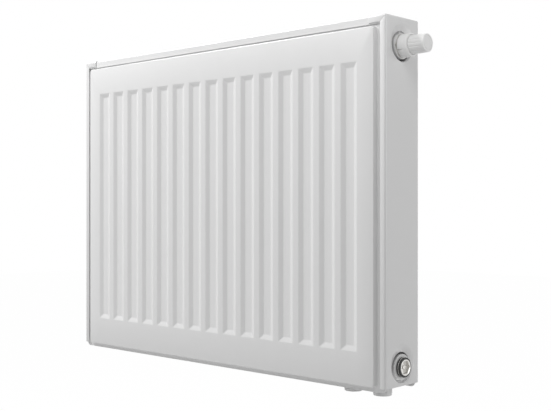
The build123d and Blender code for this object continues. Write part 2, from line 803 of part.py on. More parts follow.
with BuildPart() as knob:
    flange_end = flange_start + knob_flange
    rim_radius = neck_radius - running_gap
    outline = [(flange_start, 0), (flange_start, rim_radius), (flange_end, rim_radius)]
    outline += [(flange_end, knob_root_radius), (knob_end, knob_tip_radius), (knob_end, 0)]
    turned(valve_port, outline)
    end_edges = knob.edges().filter_by(GeomType.CIRCLE).sort_by(Axis.X)
    fillet(end_edges[-1], radius=knob_round)
    inner_root = knob_root_radius - knob_wall
    inner_tip = knob_tip_radius - knob_wall
    inner_end = knob_end - knob_wall
    hollow = [(flange_start, 0), (flange_start, inner_root), (inner_end, inner_tip)]
    hollow += [(inner_end, knob_hub), (knob_hub_start, knob_hub), (knob_hub_start, 0)]
    turned(valve_port, hollow, Mode.SUBTRACT)
    ring(valve_port, knob_hub_start, inner_end, 0, knob_hub_bore, Mode.SUBTRACT)
    groove_inner = ring_groove_radius - ring_groove_width / 2
    groove_outer = ring_groove_radius + ring_groove_width / 2
    groove_start = knob_end - ring_groove_depth
    ring(valve_port, groove_start, knob_end, groove_inner, groove_outer, Mode.SUBTRACT)
    taper_rate = (knob_root_radius - knob_tip_radius) / (knob_end - flange_end)
    for flute in range(flute_count):
        angle = flute * 360 / flute_count
        for along in (flute_start, flute_end):
            surface = knob_root_radius - taper_rate * (along - flange_end)
            with BuildSketch(valve_port.offset(along)):
                centre = surface + flute_radius - flute_depth
                with PolarLocations(centre, 1, start_angle=angle):
                    Circle(flute_radius)
        loft(ruled=True, mode=Mode.SUBTRACT)
save(knob, "valve_knob")

# ------------------------------------------------------------------ drain plug in the lower right port
drain_port = port_plane(1, low_z)
inner_seal_end = plug_inner_seal - boss_setback
plug_flange_end = inner_seal_end + plug_flange
outer_ring_end = plug_flange_end + plug_outer_ring
plug_head_end = outer_ring_end + plug_head_proud

with BuildPart() as drain_plug:
    ring(drain_port, -plug_thread_length, inner_seal_end, 0, thread_radius)
    ring(drain_port, inner_seal_end, plug_flange_end, 0, plug_flange_radius)
    ring(drain_port, plug_flange_end, plug_head_end, 0, plug_head_radius)
    with BuildSketch(drain_port.offset(plug_head_end)):
        RegularPolygon(plug_socket_flats / 2, 6, major_radius=False)
    extrude(amount=-plug_socket_depth, mode=Mode.SUBTRACT)
    socket_floor = plug_head_end - plug_socket_depth
    ring(drain_port, socket_floor, socket_floor + plug_pip, 0, plug_pip_radius)
save(drain_plug, "drain_plug_body")

with BuildPart() as inner_seal:
    ring(drain_port, -boss_setback, inner_seal_end, port_thread, plug_seal_radius)
save(inner_seal, "plug_inner_seal")

with BuildPart() as outer_ring:
    inner = plug_head_radius + running_gap
    ring(drain_port, plug_flange_end, outer_ring_end, inner, plug_seal_radius)
save(outer_ring, "plug_outer_ring")

# ------------------------------------------------------------------ blind plug in the lower left port
blind_port = port_plane(-1, low_z)
end_seal_end = end_seal - boss_setback
blind_end = end_seal_end + blind_flange

with BuildPart() as blind_plug:
    ring(blind_port, -plug_thread_length, end_seal_end, 0, thread_radius)
    ring(blind_port, end_seal_end, blind_end, 0, end_seal_radius)
    with BuildSketch(blind_port.offset(blind_end)):
        RegularPolygon(blind_socket_flats / 2, 6, major_radius=False)
    extrude(amount=-blind_socket_depth, mode=Mode.SUBTRACT)
save(blind_plug, "blind_plug_left")

with BuildPart() as blind_seal:
    ring(blind_port, -boss_setback, end_seal_end, port_thread, end_seal_radius)
save(blind_seal, "blind_plug_seal")

# ------------------------------------------------------------------ air vent in the upper left port
vent_port = port_plane(-1, high_z)
vent_hex_end = end_seal_end + vent_hex
vent_neck_end = vent_hex_end + vent_neck
snap_start = vent_neck_end - vent_snap_length
screw_bore = screw_radius + running_gap
head_start = vent_neck_end - screw_head + loose_gap
seat_start = -screw_in

with BuildPart() as vent_body:
    ring(vent_port, -plug_thread_length, end_seal_end, 0, thread_radius)
    with BuildSketch(vent_port.offset(end_seal_end)):
        RegularPolygon(vent_hex_flats / 2, 6, major_radius=False)
    extrude(amount=vent_hex)
    ring(vent_port, vent_hex_end, vent_neck_end, 0, vent_neck_radius)
    ring(vent_port, snap_start, vent_neck_end, 0, vent_neck_radius + vent_snap)
    ring(vent_port, -plug_thread_length, vent_neck_end, 0, screw_radius / 2, Mode.SUBTRACT)
    ring(vent_port, seat_start, vent_neck_end, 0, screw_bore, Mode.SUBTRACT)
    ring(vent_port, head_start - loose_gap, vent_neck_end, 0, screw_recess, Mode.SUBTRACT)
save(vent_body, "vent_body")

with BuildPart() as vent_seal:
    ring(vent_port, -boss_setback, end_seal_end, port_thread, end_seal_radius)
save(vent_seal, "vent_seal")

with BuildPart() as nozzle:
    nozzle_start = vent_hex_end + loose_gap
    nozzle_end = snap_start - loose_gap
    nozzle_middle = (nozzle_start + nozzle_end) / 2
    ring(vent_port, nozzle_start, nozzle_end, 0, nozzle_radius)
    spout = Plane(
        origin=(-(half + nozzle_middle), middle, high_z),
        x_dir=(1, 0, 0),
        z_dir=(0, 0, -1),
    )
    ring(spout, 0, nozzle_radius + nozzle_spout, 0, nozzle_spout_radius - loose_gap)
    ring(vent_port, nozzle_start, nozzle_end, 0, vent_neck_radius + running_gap, Mode.SUBTRACT)
    ring(spout, 0, nozzle_radius + nozzle_spout, 0, nozzle_bore, Mode.SUBTRACT)
save(nozzle, "vent_nozzle_ring")

with BuildPart() as vent_screw:
    ring_mid = (head_start + seat_start) / 2
    groove = screw_radius - 2 * screw_ring
    outline = [(seat_start + running_gap, 0), (seat_start + running_gap, screw_radius / 2)]
    outline += [(seat_start + screw_tip, screw_radius), (head_start, screw_radius), (head_start, 0)]
    turned(vent_port, outline)
    with BuildSketch(vent_port.offset(head_start)):
        Rectangle(screw_head_flats, screw_head_flats)
    extrude(amount=screw_head)
    ring(vent_port, ring_mid - screw_ring, ring_mid + screw_ring, groove, screw_radius, Mode.SUBTRACT)
save(vent_screw, "vent_screw")

with BuildPart() as vent_oring:
    section = Plane(origin=vent_port.origin, x_dir=vent_port.z_dir, z_dir=vent_port.y_dir)
    with BuildSketch(section):
        with Locations((ring_mid, screw_radius - screw_ring)):
            Circle(screw_ring)
    revolve(axis=Axis(vent_port.origin, vent_port.z_dir))
save(vent_oring, "vent_screw_oring")
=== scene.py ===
# %% [markdown]
# # A panel radiator with a built-in valve
# The solids of the radiator are already made: every sheet, tee, pipe and valve piece has its real
# size and place. This lesson dresses them. It hangs the radiator in a plain studio, gives each
# piece the finish of the real one, and models again the pieces that are seen closely, with the
# soft bends of pressed steel and moulded plastic. All sizes are in metres, X runs along the
# radiator, Y back to the wall and Z up.

# %% Load the solids
import json
import math
import bpy
import bmesh
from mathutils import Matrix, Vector


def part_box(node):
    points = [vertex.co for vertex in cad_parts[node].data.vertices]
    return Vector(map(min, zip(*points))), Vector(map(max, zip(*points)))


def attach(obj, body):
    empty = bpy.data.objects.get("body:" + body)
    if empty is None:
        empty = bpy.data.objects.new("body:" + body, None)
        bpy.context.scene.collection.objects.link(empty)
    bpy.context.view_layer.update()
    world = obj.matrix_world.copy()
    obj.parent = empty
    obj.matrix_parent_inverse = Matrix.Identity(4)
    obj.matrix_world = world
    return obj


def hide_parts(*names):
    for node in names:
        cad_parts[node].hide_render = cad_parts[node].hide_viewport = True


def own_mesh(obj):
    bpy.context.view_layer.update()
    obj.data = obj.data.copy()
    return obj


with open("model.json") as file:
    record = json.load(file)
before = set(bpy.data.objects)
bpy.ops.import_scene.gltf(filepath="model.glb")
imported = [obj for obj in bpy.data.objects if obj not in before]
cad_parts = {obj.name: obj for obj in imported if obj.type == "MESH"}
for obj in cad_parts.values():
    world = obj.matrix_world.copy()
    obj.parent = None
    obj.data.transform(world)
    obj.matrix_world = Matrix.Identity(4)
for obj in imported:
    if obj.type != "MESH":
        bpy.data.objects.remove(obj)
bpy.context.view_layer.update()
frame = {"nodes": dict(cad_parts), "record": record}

# %% [markdown]
# ## The camera
# A long lens far away and a level aim keep the upright edges upright. The camera stands level
# with the middle of the radiator, off to the valve end, so that the front and the right end show
# together.

# %% Set the camera
cover_low, cover_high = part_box("side_cover_right")
corner_x, corner_y = cover_high[0], cover_low[1]
view_turn = math.radians(42.68)
camera_aside, camera_before, camera_height = 0.7423, 1.0185, 0.0036

camera_data = bpy.data.cameras.new("studio_camera")
camera_data.lens = 62.3
camera_data.shift_y = -0.0031
camera = bpy.data.objects.new("studio_camera", camera_data)
camera.location = (corner_x + camera_aside, corner_y - camera_before, camera_height)
camera.rotation_euler = (math.radians(90), 0, view_turn)
bpy.context.scene.collection.objects.link(camera)
bpy.context.scene.camera = camera
print("camera at", tuple(round(v, 3) for v in camera.location))

# %% [markdown]
# ## Writing shaders as sums
# A material's nodes can be wired one by one, but long chains are hard to read. Here a small class
# wraps a socket, so that `mask * 0.2 + 0.4` adds the Math nodes by itself, and one method makes
# any other node.

# %% A finish that can be written as expressions
class Wire:
    """A socket that can be added, subtracted and multiplied."""

    def __init__(self, finish, socket):
        self.finish, self.socket = finish, socket

    def _maths(self, operation, first, second):
        settings, sockets = {"operation": operation}, {0: first, 1: second}
        return self.finish.node("ShaderNodeMath", settings, sockets)

    def __add__(self, other):
        return self._maths("ADD", self, other)

    def __radd__(self, other):
        return self._maths("ADD", other, self)

    def __sub__(self, other):
        return self._maths("SUBTRACT", self, other)

    def __rsub__(self, other):
        return self._maths("SUBTRACT", other, self)

    def __mul__(self, other):
        return self._maths("MULTIPLY", self, other)

    def __rmul__(self, other):
        return self._maths("MULTIPLY", other, self)


class Finish:
    """One material, built round a Principled shader."""

    def __init__(self, name, **constants):
        self.material = bpy.data.materials.new(name)
        self.material.use_nodes = True
        self.tree = self.material.node_tree
        self.shader = self.tree.nodes["Principled BSDF"]
        for word, value in constants.items():
            socket = word.replace("_", " ").title().replace("Ior", "IOR")
            self.shader.inputs[socket].default_value = value

    def node(self, kind, settings, inputs, output=0):
        """Any node: its settings first, then the values or wires of its sockets."""
        made = self.tree.nodes.new(kind)
        for key, value in settings.items():
            if key == "stops":
                ramp = made.color_ramp.elements
                for index, (place, grey) in enumerate(value):
                    stop = ramp[index] if index < 2 else ramp.new(place)
                    stop.position = place
                    stop.color = (grey, grey, grey, 1)
            else:
                setattr(made, key, value)
        for key, value in inputs.items():
            if isinstance(value, Wire):
                self.tree.links.new(value.socket, made.inputs[key])
            else:
                made.inputs[key].default_value = value
        return Wire(self, made.outputs[output])

    def place(self):
        """The point on the piece, in metres, in the radiator's own frame."""
        return self.node("ShaderNodeTexCoord", {}, {}, "Object")

    def noise(self, size, detail=2.0):
        """Soft random grain; size is the grain's width in metres."""
        settings = {"noise_dimensions": "3D"}
        sockets = {"Vector": self.place(), "Scale": 1 / size, "Detail": detail}
        return self.node("ShaderNodeTexNoise", settings, sockets)

    def blend(self, factor, dark, light):
        """A colour between two colours."""
        sockets = {0: factor, 6: (*dark, 1), 7: (*light, 1)}
        return self.node("ShaderNodeMix", {"data_type": "RGBA"}, sockets, 2)

    def wire(self, socket, value):
        """Lead a value that changes over the surface to one of the shader's sockets."""
        self.tree.links.new(value.socket, self.shader.inputs[socket])

    def bumps(self, height, depth):
        """Raise and lower the surface by a grain, depth in metres."""
        sockets = {"Height": height, "Distance": depth, "Strength": 1.0}
        self.wire("Normal", self.node("ShaderNodeBump", {}, sockets))


print("finish tools ready")

# %% [markdown]
# ## Finishes
# Radiators are dipped and powder coated: a smooth neutral white with a soft gloss, whose surface
# has the faint orange peel of baked powder. Plastic, nickel, brass and rubber each get their own
# small-scale detail.

# %% White stove enamel
peel_size, peel_depth, cloud_size = 0.0016, 0.000012, 0.09
enamel = Finish(
    "white_enamel", base_color=(0.8, 0.8, 0.8, 1), roughness=0.25, specular_ior_level=0.7
)
enamel_peel = enamel.noise(peel_size)
enamel_cloud = enamel.noise(cloud_size)
enamel.wire("Base Color", enamel.blend(enamel_cloud, (0.79, 0.79, 0.79), (0.81, 0.81, 0.81)))
enamel.wire("Roughness", enamel_cloud * 0.06 + 0.22)
enamel.bumps(enamel_peel, peel_depth)
print("white enamel ready")

# %% Moulded white plastic of the knob
knob_white = Finish("knob_plastic", roughness=0.42)
knob_grain = knob_white.noise(0.0006)
knob_tone = knob_white.noise(0.012)
knob_shades = (0.92, 0.92, 0.915), (0.94, 0.94, 0.935)
knob_white.wire("Base Color", knob_white.blend(knob_tone, *knob_shades))
knob_white.wire("Roughness", knob_grain * 0.10 + 0.38)
knob_white.bumps(knob_grain, 0.000008)
print("knob plastic ready")

# %% Matt plastic of the transport caps and the vent's nozzle
cap_white = Finish("cap_plastic", roughness=0.5)
cap_grain = cap_white.noise(0.0009)
cap_tone = cap_white.noise(0.015)
cap_shades = (0.76, 0.76, 0.755), (0.80, 0.80, 0.795)
cap_white.wire("Base Color", cap_white.blend(cap_tone, *cap_shades))
cap_white.wire("Roughness", cap_grain * 0.14 + 0.44)
cap_white.bumps(cap_grain, 0.000015)
print("cap plastic ready")

# %% Black sealing rubber
rubber = Finish("black_rubber", roughness=0.55)
rubber_grain = rubber.noise(0.0007, detail=4.0)
rubber_shades = (0.012, 0.012, 0.012), (0.028, 0.028, 0.028)
rubber.wire("Base Color", rubber.blend(rubber_grain, *rubber_shades))
rubber.wire("Roughness", rubber_grain * 0.2 + 0.42)
rubber.bumps(rubber_grain, 0.00002)
print("rubber ready")


# %% Metals: nickel plate, brass, steel
def metal(name, dark, light, rough, grain_size):
    """A turned or drawn metal: fine tool marks vary its gloss and height."""
    clouds_per_grain, mark_depth = 14, 0.0000012
    made = Finish(name, metallic=1.0)
    grain = made.noise(grain_size, detail=4.0)
    cloud = made.noise(grain_size * clouds_per_grain)
    made.wire("Base Color", made.blend(cloud, dark, light))
    made.wire("Roughness", grain * 0.10 + rough)
    made.bumps(grain, mark_depth)
    return made


nickel = metal("nickel_plate", (0.60, 0.59, 0.57), (0.70, 0.69, 0.67), 0.20, 0.0006)
brass = metal("turned_brass", (0.62, 0.45, 0.20), (0.74, 0.56, 0.28), 0.26, 0.0006)
steel = metal("zinc_steel", (0.50, 0.50, 0.49), (0.60, 0.60, 0.59), 0.30, 0.0009)
stainless = metal("stainless_steel", (0.58, 0.58, 0.58), (0.66, 0.66, 0.67), 0.22, 0.0005)
print("metals ready")

# %% [markdown]
# ## Dress the solids
# The record already says what each node is made of, so a table from its material slots to the
# finishes dresses every solid in one loop.

# %% Give every solid its finish
slot_finish = {
    "painted_white": enamel,
    "spring_steel": steel,
    "nickel_brass": nickel,
    "plain_brass": brass,
    "stainless": stainless,
    "black_rubber": rubber,
    "knob_plastic": knob_white,
    "cap_plastic": cap_white,
}
node_slot = {entry["node"]: entry["material_slot"] for entry in frame["record"]["subparts"]}


def dress(piece, finish):
    """Fill all of a piece's material slots with one finish."""
    piece.data.materials.clear()
    piece.data.materials.append(finish.material)


for name, piece in frame["nodes"].items():
    dress(piece, slot_finish[node_slot[name]])
print(len(frame["nodes"]), "solids dressed")

# %% [markdown]
# ## Modelling by hand
# Every new piece starts from a simple form that is added at its size and place, and is then
# shaped in edit mode with the same operators as at the screen. An operator works on what is
# selected, so small helpers do the handling: one takes a new form up, one picks its corners,
# edges or faces by their place, one rounds sharp edges, one mirrors a piece, and one puts the
# finished piece down: shaded, dressed, and riding on the body that it moves with.

# %% Helpers: take up and pick
def clear_choice():
    """Leave edit mode and select nothing."""
    if bpy.context.object and bpy.context.object.mode != "OBJECT":
        bpy.ops.object.mode_set(mode="OBJECT")
    bpy.ops.object.select_all(action="DESELECT")


def take_up(name):
    """Name the form that was just added, put its place into its mesh and open it."""
    piece = bpy.context.object
    piece.name = piece.data.name = name
    bpy.ops.object.transform_apply(location=True, rotation=True, scale=True)
    bpy.ops.object.mode_set(mode="EDIT")
    return piece


def middle_of(part):
    """The middle of a face or an edge."""
    return sum((corner.co for corner in part.verts), Vector()) / len(part.verts)


def pick(kind, wanted):
    """In edit mode, select only the verts, edges or faces that pass a test."""
    modes = [kind == each for each in ("verts", "edges", "faces")]
    bpy.context.tool_settings.mesh_select_mode = modes
    mesh = bpy.context.edit_object.data
    shape = bmesh.from_edit_mesh(mesh)
    for part in (*shape.faces, *shape.edges, *shape.verts):
        part.select = False
    chosen = [part for part in getattr(shape, kind) if wanted(part)]
    for part in chosen:
        part.select_set(True)
    bmesh.update_edit_mesh(mesh)
    return len(chosen)


def face_outwards(direction):
    """Make an open sheet's faces agree, with most of them towards a direction."""
    bpy.ops.mesh.select_all(action="SELECT")
    bpy.ops.mesh.normals_make_consistent(inside=False)
    shape = bmesh.from_edit_mesh(bpy.context.edit_object.data)
    lean = sum(face.normal.dot(Vector(direction)) * face.calc_area() for face in shape.faces)
    if lean < 0:
        bpy.ops.mesh.flip_normals()


print("helpers for selecting ready")


# %% Helpers: soften, mirror and put down
def apply_modifier(piece, kind, **settings):
    """Add a modifier with its settings and apply it at once."""
    clear_choice()
    bpy.context.view_layer.objects.active = piece
    piece.select_set(True)
    modifier = piece.modifiers.new(kind.lower(), kind)
    for key, value in settings.items():
        setattr(modifier, key, value)
    bpy.ops.object.modifier_apply(modifier=modifier.name)


def soften(piece, width, segments=2, angle=30):
    """Round every edge that is sharper than an angle."""
    apply_modifier(piece, "BEVEL", width=width, segments=segments, limit_method="ANGLE",
                   angle_limit=math.radians(angle), use_clamp_overlap=True)


def put_down(piece, finish, body, slot, *nodes, smooth=30):
    """Shade, dress and attach a finished piece, which stands for the named solids."""
    clear_choice()
    bpy.context.view_layer.objects.active = piece
    piece.select_set(True)
    bpy.ops.object.shade_smooth_by_angle(angle=math.radians(smooth))
    clear_choice()
    dress(piece, finish)
    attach(piece, body)
    if nodes:
        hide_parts(*nodes)
    print(piece.name, len(piece.data.polygons), "faces")


def mirrored(piece, name, factors, centre):
    """A copy with its own mesh, mirrored about a point."""
    clear_choice()
    bpy.context.view_layer.objects.active = piece
    piece.select_set(True)
    bpy.ops.object.duplicate()
    twin = bpy.context.object
    twin.name = twin.data.name = name
    bpy.ops.object.mode_set(mode="EDIT")
    bpy.ops.mesh.select_all(action="SELECT")
    bpy.ops.transform.resize(value=factors, center_override=centre)
    bpy.ops.mesh.flip_normals()
    bpy.ops.object.mode_set(mode="OBJECT")
    return twin


print("helpers for finishing ready")

# %% [markdown]
# ## The pressed face sheets
# Each water panel shows one pressed steel sheet: a flat rim for the seam, a step up to a raised
# field, and upright grooves pressed back into the field. A press can't make a sharp corner, so
# every bend is a soft curve. The sheet starts as a flat outline of the field. Insetting a face
# keeps its rounded corners parallel, so it makes both the field's step and the grooves. The rim
# is drawn out from the outline's edge, and a bevel then gives every bend its curve at once. The
# back of the radiator shows the same sheet turned round, so it is mirrored and not made again.

# %% Press the front sheet
rim_low, rim_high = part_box("front_panel_outer_sheet")
panel_sheet = 0.00125
field_proud_of_rim = 0.0065
groove_count, groove_pitch, groove_mouth, groove_run, groove_depth = 15, 0.0384, 0.028, 0.007, 0.003
groove_bottom, groove_top = rim_low[2] + 0.0517, rim_low[2] + 0.442
rim_face = rim_low[1] + field_proud_of_rim
base_side, base_bottom, base_top, base_corner = 0.0123, 0.0055, 0.0111, 0.0069
step_run, steeper_top, steeper_bottom = 0.0024, 0.0014, 0.0012
sheet_bend, touch = 0.0009, 0.0001


def upright_outline(name, left, right, low, high, y, corner):
    """A new flat upright face towards -Y with rounded corners."""
    place = ((left + right) / 2, y, (low + high) / 2)
    bpy.ops.mesh.primitive_plane_add(size=1, location=place, rotation=(math.radians(90), 0, 0))
    piece = take_up(name)
    bpy.ops.transform.resize(value=(right - left, 1, high - low), center_override=place)
    bpy.ops.mesh.bevel(offset=corner, segments=8, affect="VERTICES", clamp_overlap=False)
    return piece


clear_choice()
field_left, field_right = rim_low[0] + base_side, rim_high[0] - base_side
field_low, field_high = rim_low[2] + base_bottom, rim_high[2] - base_top
front_face = upright_outline(
    "front_face_sheet", field_left, field_right, field_low, field_high, rim_face, base_corner
)
bpy.ops.mesh.inset(thickness=step_run, use_even_offset=True)
bpy.ops.transform.translate(value=(0, -field_proud_of_rim, 0))
field_half, field_foot = (field_low + field_high) / 2, rim_face - field_proud_of_rim / 2
for upper, shift in ((True, steeper_top), (False, -steeper_bottom)):
    pick("verts", lambda v: v.co.y < field_foot and (v.co.z > field_half) == upper)
    bpy.ops.transform.translate(value=(0, 0, shift))
print("field raised by", field_proud_of_rim)

# %% Press the grooves
def on_field(face):
    """True for a face that lies flat in the raised field."""
    return middle_of(face).y < rim_low[1] + touch


groove_lines = [
    (index - (groove_count - 1) / 2) * groove_pitch + side * groove_mouth / 2
    for index in range(groove_count)
    for side in (-1, 1)
]
for line in groove_lines:
    pick("faces", on_field)
    bpy.ops.mesh.bisect(plane_co=(line, 0, 0), plane_no=(1, 0, 0))
for line in (groove_bottom, groove_top):
    pick("faces", on_field)
    bpy.ops.mesh.bisect(plane_co=(0, 0, line), plane_no=(0, 0, 1))


def is_groove_mouth(face):
    """True for a flat cell of the field that lies inside a groove's outline."""
    centre = middle_of(face)
    off_middle = abs(centre.x / groove_pitch - round(centre.x / groove_pitch)) * groove_pitch
    in_rows = groove_bottom < centre.z < groove_top
    in_columns = abs(centre.x) < groove_pitch * groove_count / 2
    return on_field(face) and off_middle < 0.001 and in_rows and in_columns


print(pick("faces", is_groove_mouth), "grooves")
bpy.ops.mesh.inset(
    thickness=groove_run, depth=-groove_depth, use_individual=True, use_even_offset=True
)

# %% Give it its rim, its bends and its thickness
field_middle = (0, rim_face, field_half)
rim_stretch = ((rim_high[0] - rim_low[0]) / (field_right - field_left), 1,
               (rim_high[2] - rim_low[2]) / (field_high - field_low))
pick("edges", lambda e: len(e.link_faces) < 2)
bpy.ops.mesh.extrude_edges_move(TRANSFORM_OT_translate={"value": (0, 0, 0)})
bpy.ops.transform.resize(value=rim_stretch, center_override=field_middle)
bpy.ops.transform.translate(value=(0, 0, (rim_low[2] + rim_high[2]) / 2 - field_middle[2]))
face_outwards((0, -1, 0))
soften(front_face, sheet_bend, segments=3, angle=12)
apply_modifier(front_face, "SOLIDIFY", thickness=panel_sheet, offset=-1)
panels_middle = (rim_low[1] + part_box("rear_panel_outer_sheet")[1][1]) / 2
rear_face = mirrored(front_face, "rear_face_sheet", (1, -1, 1), (0, panels_middle, 0))
put_down(front_face, enamel, "radiator", "painted_white", "front_panel_outer_sheet")
put_down(rear_face, enamel, "radiator", "painted_white", "rear_panel_outer_sheet")

# %% [markdown]
# ## The side covers
# A side cover is one thin sheet folded round the end: a flat web, a lip at the front and at the
# back, and a tongue that reaches over the grille with its own small folds, parted from the lips
# by a mitre. Two round holes let the side ports through. Each sits in a shallow pressed dish
# whose outline is drawn up to a point.

# %% Fold the right cover
cover_sheet, cover_bend, cover_lip, tongue_fold = 0.001, 0.0026, 0.0095, 0.010
mitre_half, edge_round, touch = 0.00014, 0.00015, 0.00001
cover_middle = (cover_low[1] + cover_high[1]) / 2
lip_edge, fold_edge = cover_high[0] - cover_lip, cover_high[2] - tongue_fold
low_port, high_port = (
    (low[2] + high[2]) / 2 for low, high in (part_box("drain_plug_body"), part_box("valve_collar"))
)

clear_choice()
bpy.ops.mesh.primitive_cube_add(
    size=1,
    location=[(a + b) / 2 for a, b in zip(cover_low, cover_high)],
    scale=[b - a for a, b in zip(cover_low, cover_high)],
)
right_cover = take_up("side_cover_skin_right")
pick("faces", lambda f: f.normal.x < -0.9 or f.normal.z < -0.9)
bpy.ops.mesh.delete(type="FACE")
pick("faces", lambda f: abs(f.normal.y) > 0.9)
bpy.ops.mesh.bisect(plane_co=(lip_edge, 0, 0), plane_no=(1, 0, 0))
pick("faces", lambda f: abs(f.normal.y) > 0.9)
bpy.ops.mesh.bisect(plane_co=(0, 0, fold_edge), plane_no=(0, 0, 1))
pick("faces", lambda f: abs(f.normal.y) > 0.9 and middle_of(f).x < lip_edge
     and middle_of(f).z < fold_edge)
bpy.ops.mesh.delete(type="FACE")
pick("edges", lambda e: len(e.link_faces) == 2 and e.calc_face_angle() > 1)
bpy.ops.mesh.bevel(offset=cover_bend, segments=8, affect="EDGES")
mitre_x = cover_high[0] - (cover_lip + cover_bend) / 2
mitre_z = cover_high[2] - (tongue_fold + cover_bend) / 2
for shift in (-mitre_half, mitre_half):
    pick("faces", lambda f: abs(f.normal.y) > 0.99)
    bpy.ops.mesh.bisect(plane_co=(mitre_x + shift, 0, mitre_z - shift), plane_no=(1, 0, -1))


def in_mitre(face):
    """True for the sliver between the lip and the tongue's fold."""
    centre = middle_of(face)
    off_mitre = abs((centre.x - mitre_x) - (centre.z - mitre_z))
    return abs(face.normal.y) > 0.99 and off_mitre < 1.5 * mitre_half


print(pick("faces", in_mitre), "mitre slivers")
bpy.ops.mesh.delete(type="FACE")

# %% [markdown]
# ### The dishes and their holes
# A round hole in a flat face is easiest to make from a square one. A window is cut out of the web
# round each port and its edge is divided. The edge is then drawn inwards and rounded to the
# dish's outline, and drawn in once more to the hole itself. One corner at the top of the outline
# is pulled up with soft falloff, which gives the dish its point.

# %% Cut a window round each port
window_side, window_down, window_up = 0.032, 0.0235, 0.0355


def on_web(face):
    """True for a face of the cover's flat web."""
    return face.normal.x > 0.999


for port in (low_port, high_port):
    for line in (port - window_down, port + window_up):
        pick("faces", on_web)
        bpy.ops.mesh.bisect(plane_co=(0, 0, line), plane_no=(0, 0, 1))
for line in (cover_middle - window_side, cover_middle + window_side):
    pick("faces", on_web)
    bpy.ops.mesh.bisect(plane_co=(0, line, 0), plane_no=(0, 1, 0))
for port in (low_port, high_port):
    pick("faces", lambda f: on_web(f) and abs(middle_of(f).y - cover_middle) < window_side / 2
         and port - window_down < middle_of(f).z < port + window_up)
    bpy.ops.mesh.delete(type="FACE")
print("windows cut at heights", round(low_port, 4), round(high_port, 4))

# %% Press the dishes and finish the covers
hole_radius, dish_radius, dish_rise, dish_depth = 0.0202, 0.026, 0.0046, 0.003
point_rise, point_reach, dish_bend, dish_zone = 0.0014, 0.0083, 0.0004, 0.036
for port in (low_port, high_port):

    def on_window(edge):
        """True for the four edges of this port's window."""
        centre = middle_of(edge)
        near = abs(centre.y - cover_middle) < window_side + touch
        tall = port - window_down - touch < centre.z < port + window_up + touch
        return len(edge.link_faces) == 1 and near and tall and centre.x > cover_high[0] - touch

    pick("edges", on_window)
    bpy.ops.mesh.subdivide(number_cuts=15)
    bpy.ops.mesh.extrude_edges_move(TRANSFORM_OT_translate={"value": (0, 0, 0)})
    bpy.ops.transform.tosphere(value=1)
    loop = [v.co.copy() for v in bmesh.from_edit_mesh(right_cover.data).verts if v.select]
    centre = sum(loop, Vector()) / len(loop)
    radius = sum((corner - centre).length for corner in loop) / len(loop)
    mouth = (cover_high[0], cover_middle, port + dish_rise)
    bpy.ops.transform.translate(value=Vector(mouth) - centre)
    growth = dish_radius / radius
    bpy.ops.transform.resize(value=(1, growth, growth), center_override=mouth)
    inwards = (-dish_depth, 0, -dish_rise)
    bpy.ops.mesh.extrude_edges_move(TRANSFORM_OT_translate={"value": inwards})
    hole = (cover_high[0] - dish_depth, cover_middle, port)
    shrink = hole_radius / dish_radius
    bpy.ops.transform.resize(value=(1, shrink, shrink), center_override=hole)
    top = Vector((cover_high[0], cover_middle, port + dish_rise + dish_radius))
    pick("verts", lambda v: abs(v.co.z - top.z) < 20 * touch and abs(v.co.y - top.y) < 20 * touch)
    bpy.ops.transform.translate(
        value=(0, 0, point_rise), use_proportional_edit=True,
        proportional_edit_falloff="LINEAR", proportional_size=point_reach,
    )
    print("dish pressed at height", round(port, 4), "from a loop of", len(loop))
face_outwards((1, 0, 0))


def on_dish_edge(edge):
    """True for a sharp edge of either dish."""
    centre = middle_of(edge)
    from_port = min(abs(centre.z - low_port), abs(centre.z - high_port))
    near = from_port < dish_zone and abs(centre.y - cover_middle) < window_side - 0.002
    return near and len(edge.link_faces) == 2 and edge.calc_face_angle() > 0.2


print(pick("edges", on_dish_edge), "dish edges rounded")
bpy.ops.mesh.bevel(offset=dish_bend, segments=2, affect="EDGES")
apply_modifier(right_cover, "SOLIDIFY", thickness=cover_sheet, offset=-1)
soften(right_cover, edge_round, segments=2, angle=60)
left_cover = mirrored(right_cover, "side_cover_skin_left", (-1, 1, 1), (0, 0, 0))
put_down(right_cover, enamel, "right_cover", "painted_white", "side_cover_right")
put_down(left_cover, enamel, "left_cover", "painted_white", "side_cover_left")

# %% [markdown]
# ## Turned pieces
# The knob, its collar, the plug, its rings and the pipe stubs are all round, so they are made as
# on a lathe: half of the section is drawn corner by corner with vertex extrusions, and the spin
# tool sweeps it round the axis. A plane merged into one point is the first corner. A closed
# section gives a ring, and one that ends on the axis a solid.

# %% The lathe
def turn(name, origin, axis, outline, closed, steps=64):
    """Spin an outline of (along, radius) corners, in metres, round an axis through a point."""
    origin, axis, aside, join = Vector(origin), Vector(axis), Vector((0, 1, 0)), 0.000001
    clear_choice()
    bpy.context.tool_settings.mesh_select_mode = (True, False, False)
    bpy.ops.mesh.primitive_plane_add(size=0.001, location=origin)
    piece = take_up(name)
    bpy.ops.mesh.merge(type="CENTER")
    corners = [origin + axis * along + aside * radius for along, radius in outline]
    bpy.ops.transform.translate(value=corners[0] - origin)
    for here, there in zip(corners, corners[1:]):
        bpy.ops.mesh.extrude_vertices_move(TRANSFORM_OT_translate={"value": there - here})
    if closed:
        ends = (corners[0], corners[-1])
        pick("verts", lambda v: min((v.co - end).length for end in ends) < 2 * join)
        bpy.ops.mesh.edge_face_add()
    bpy.ops.mesh.select_all(action="SELECT")
    bpy.ops.mesh.spin(steps=steps, angle=math.radians(360), center=origin, axis=axis)
    bpy.ops.mesh.select_all(action="SELECT")
    bpy.ops.mesh.remove_doubles(threshold=join)
    bpy.ops.mesh.normals_make_consistent(inside=False)
    bpy.ops.object.mode_set(mode="OBJECT")
    return piece


